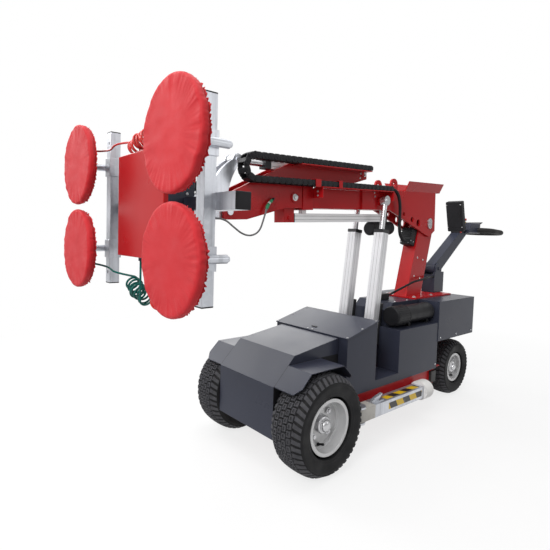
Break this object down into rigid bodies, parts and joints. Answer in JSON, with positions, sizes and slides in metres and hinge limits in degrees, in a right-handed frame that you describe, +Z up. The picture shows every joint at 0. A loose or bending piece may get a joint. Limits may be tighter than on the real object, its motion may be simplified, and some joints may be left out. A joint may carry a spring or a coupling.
{
  "type": "glass panel lifter",
  "caption": "Battery glazing robot: wheeled chassis with tiller and fold-out rollers, leaning mast, telescopic boom and a tilting, turning suction frame with cloth-covered cups.",
  "frame": {"origin": "on the ground under the middle of the machine", "axes": "+X to the rear along the machine, +Y to its right, +Z up"},
  "size_m": [2.8656, 1.059, 1.352],
  "materials": {
    "red_paint": "gloss red powder coat",
    "dark_cover": "matt anthracite powder coat",
    "tyre_rubber": "black rubber",
    "rim_paint": "light silver paint",
    "galvanised": "zinc plated",
    "anodised": "satin anodised",
    "rod_chrome": "polished",
    "black_plastic": "matt black",
    "pad_rubber": "black rubber",
    "cover_cloth": "woven red cloth",
    "white_nylon": "white nylon",
    "stop_red": "gloss red",
    "hose_red": "clear red polyurethane",
    "hose_green": "clear green polyurethane",
    "cable_grey": "grey sheath"
  },
  "bodies": {
    "chassis": {"chassis_frame": "red_paint", "front_hood": "dark_cover", "front_box": "dark_cover", "front_lid": "dark_cover", "side_boxes": "dark_cover", "centre_cover": "dark_cover", "rear_cover": "dark_cover", "mast": "red_paint", "cable_boxes": "black_plastic", "document_tube": "black_plastic", "bumpers": "pad_rubber", "side_brackets": "red_paint", "boom_conduit": "black_plastic", "tiller_cable": "black_plastic"},
    "steering": {"steering_bogie": "red_paint", "tiller_column": "dark_cover"},
    "tiller": {"tiller_arm": "dark_cover", "tiller_head": "black_plastic", "handset": "black_plastic"},
    "stop_button": {"stop_button": "stop_red"},
    "drive_flap": {"drive_flap": "black_plastic"},
    "boom": {"boom_outer": "red_paint", "tele_barrel": "anodised", "tele_motor": "black_plastic", "energy_chain": "black_plastic"},
    "telescope": {"boom_inner": "galvanised", "boom_nose": "red_paint", "head_cable": "cable_grey"},
    "tilt_barrel": {"tilt_barrel": "anodised"},
    "tilt_rod": {"tilt_rod": "rod_chrome"},
    "tilt_head": {"tilt_bracket": "galvanised", "rotator": "galvanised"},
    "suction_frame": {"crossbar": "galvanised", "frame_posts": "galvanised", "frame_caps": "black_plastic", "vacuum_box": "dark_cover", "box_cover": "red_paint", "suction_pads": "pad_rubber", "lower_covers": "cover_cloth", "upper_covers": "cover_cloth", "upper_hose_left": "hose_green", "upper_hose_right": "hose_red", "lower_hose_left": "hose_red", "lower_hose_right": "hose_green"},
    "front_wheel_left": {"front_tyre_left": "tyre_rubber", "front_rim_left": "rim_paint"},
    "front_wheel_right": {"front_tyre_right": "tyre_rubber", "front_rim_right": "rim_paint"},
    "rear_wheel_left": {"rear_tyre_left": "tyre_rubber", "rear_rim_left": "rim_paint"},
    "rear_wheel_right": {"rear_tyre_right": "tyre_rubber", "rear_rim_right": "rim_paint"},
    "lift_barrel_left": {"lift_barrel_left": "anodised"},
    "lift_rod_left": {"lift_rod_left": "rod_chrome"},
    "outrigger_left": {"outrigger_left": "red_paint"},
    "roller_left": {"roller_left": "white_nylon"},
    "lift_barrel_right": {"lift_barrel_right": "anodised"},
    "lift_rod_right": {"lift_rod_right": "rod_chrome"},
    "outrigger_right": {"outrigger_right": "red_paint"},
    "roller_right": {"roller_right": "white_nylon"}
  },
  "joints": [
    {"name": "front_wheel_left_spin", "type": "hinge", "parent": "chassis", "child": "front_wheel_left", "pos_m": [-0.68, -0.26, 0.203], "axis": [0, 1, 0], "continuous": true},
    {"name": "front_wheel_right_spin", "type": "hinge", "parent": "chassis", "child": "front_wheel_right", "pos_m": [-0.68, 0.26, 0.203], "axis": [0, 1, 0], "continuous": true},
    {"name": "rear_wheel_left_spin", "type": "hinge", "parent": "steering", "child": "rear_wheel_left", "pos_m": [0.665, -0.112, 0.165], "axis": [0, 1, 0], "continuous": true},
    {"name": "rear_wheel_right_spin", "type": "hinge", "parent": "steering", "child": "rear_wheel_right", "pos_m": [0.665, 0.112, 0.165], "axis": [0, 1, 0], "continuous": true},
    {"name": "steer", "type": "hinge", "parent": "chassis", "child": "steering", "pos_m": [0.665, 0, 0.165], "axis": [0, 0, 1], "range_deg": [-80, 80], "deforming": ["tiller_cable"]},
    {"name": "tiller_tilt", "type": "hinge", "parent": "steering", "child": "tiller", "pos_m": [0.658, 0, 0.757], "axis": [0, -1, 0], "range_deg": [-30, 15]},
    {"name": "stop_press", "type": "slide", "parent": "tiller", "child": "stop_button", "axis": [0, 0, -1], "range_m": [0, 0.004], "stiffness_N_per_m": 3000, "springref_m": -0.001},
    {"name": "drive_flap_turn", "type": "hinge", "parent": "tiller", "child": "drive_flap", "pos_m": [1.142, 0, 1.042], "axis": [0, 1, 0], "range_deg": [-20, 20], "stiffness_Nm_per_rad": 12},
    {"name": "boom_lift", "type": "hinge", "parent": "chassis", "child": "boom", "pos_m": [0.49, 0, 1.03], "axis": [0, 1, 0], "range_deg": [-6, 30], "deforming": ["boom_conduit"]},
    {"name": "lift_barrel_left_swing", "type": "hinge", "parent": "chassis", "child": "lift_barrel_left", "pos_m": [-0.114, -0.082, 0.33], "axis": [0, 1, 0], "range_deg": [-0.85, 4.21]},
    {"name": "lift_rod_left_slide", "type": "slide", "parent": "lift_barrel_left", "child": "lift_rod_left", "axis": [0.1236, 0, 0.9923], "range_m": [-0.0517, 0.2581]},
    {"name": "lift_barrel_right_swing", "type": "hinge", "parent": "chassis", "child": "lift_barrel_right", "pos_m": [-0.114, 0.082, 0.33], "axis": [0, 1, 0], "range_deg": [-0.85, 4.21]},
    {"name": "lift_rod_right_slide", "type": "slide", "parent": "lift_barrel_right", "child": "lift_rod_right", "axis": [0.1236, 0, 0.9923], "range_m": [-0.0517, 0.2581]},
    {"name": "telescope_slide", "type": "slide", "parent": "boom", "child": "telescope", "axis": [-0.9992, 0, -0.0401], "range_m": [0, 0.4], "deforming": ["energy_chain"]},
    {"name": "head_tilt", "type": "hinge", "parent": "telescope", "child": "tilt_head", "pos_m": [-0.98102, 0, 1.02596], "axis": [0, 1, 0], "range_deg": [-10, 25], "deforming": ["head_cable"]},
    {"name": "tilt_barrel_swing", "type": "hinge", "parent": "telescope", "child": "tilt_barrel", "pos_m": [-0.16335, 0, 1.24996], "axis": [0, 1, 0], "range_deg": [-2.63, 1.06]},
    {"name": "tilt_rod_slide", "type": "slide", "parent": "tilt_barrel", "child": "tilt_rod", "axis": [0.9997, 0, 0.0246], "range_m": [-0.0331, 0.0826]},
    {"name": "head_rotate", "type": "hinge", "parent": "tilt_head", "child": "suction_frame", "pos_m": [-1.224, 0, 1.033], "axis": [-1, 0, 0], "continuous": true},
    {"name": "outrigger_left_swing", "type": "hinge", "parent": "chassis", "child": "outrigger_left", "pos_m": [-0.418, -0.258, 0.142], "axis": [0, 0, -1], "range_deg": [0, 90]},
    {"name": "roller_left_spin", "type": "hinge", "parent": "outrigger_left", "child": "roller_left", "pos_m": [0.082, -0.258, 0.171], "axis": [1, 0, 0], "continuous": true},
    {"name": "outrigger_right_swing", "type": "hinge", "parent": "chassis", "child": "outrigger_right", "pos_m": [-0.418, 0.258, 0.142], "axis": [0, 0, 1], "range_deg": [0, 90]},
    {"name": "roller_right_spin", "type": "hinge", "parent": "outrigger_right", "child": "roller_right", "pos_m": [0.082, 0.258, 0.171], "axis": [1, 0, 0], "continuous": true}
  ],
  "couplings": [
    {"joint": "lift_barrel_left_swing", "follows": "boom_lift", "ratio": 0.14},
    {"joint": "lift_rod_left_slide", "follows": "boom_lift", "m_per_rad": 0.49274},
    {"joint": "lift_barrel_right_swing", "follows": "boom_lift", "ratio": 0.14},
    {"joint": "lift_rod_right_slide", "follows": "boom_lift", "m_per_rad": 0.49274},
    {"joint": "tilt_barrel_swing", "follows": "head_tilt", "ratio": -0.105},
    {"joint": "tilt_rod_slide", "follows": "head_tilt", "m_per_rad": 0.18908}
  ]
}
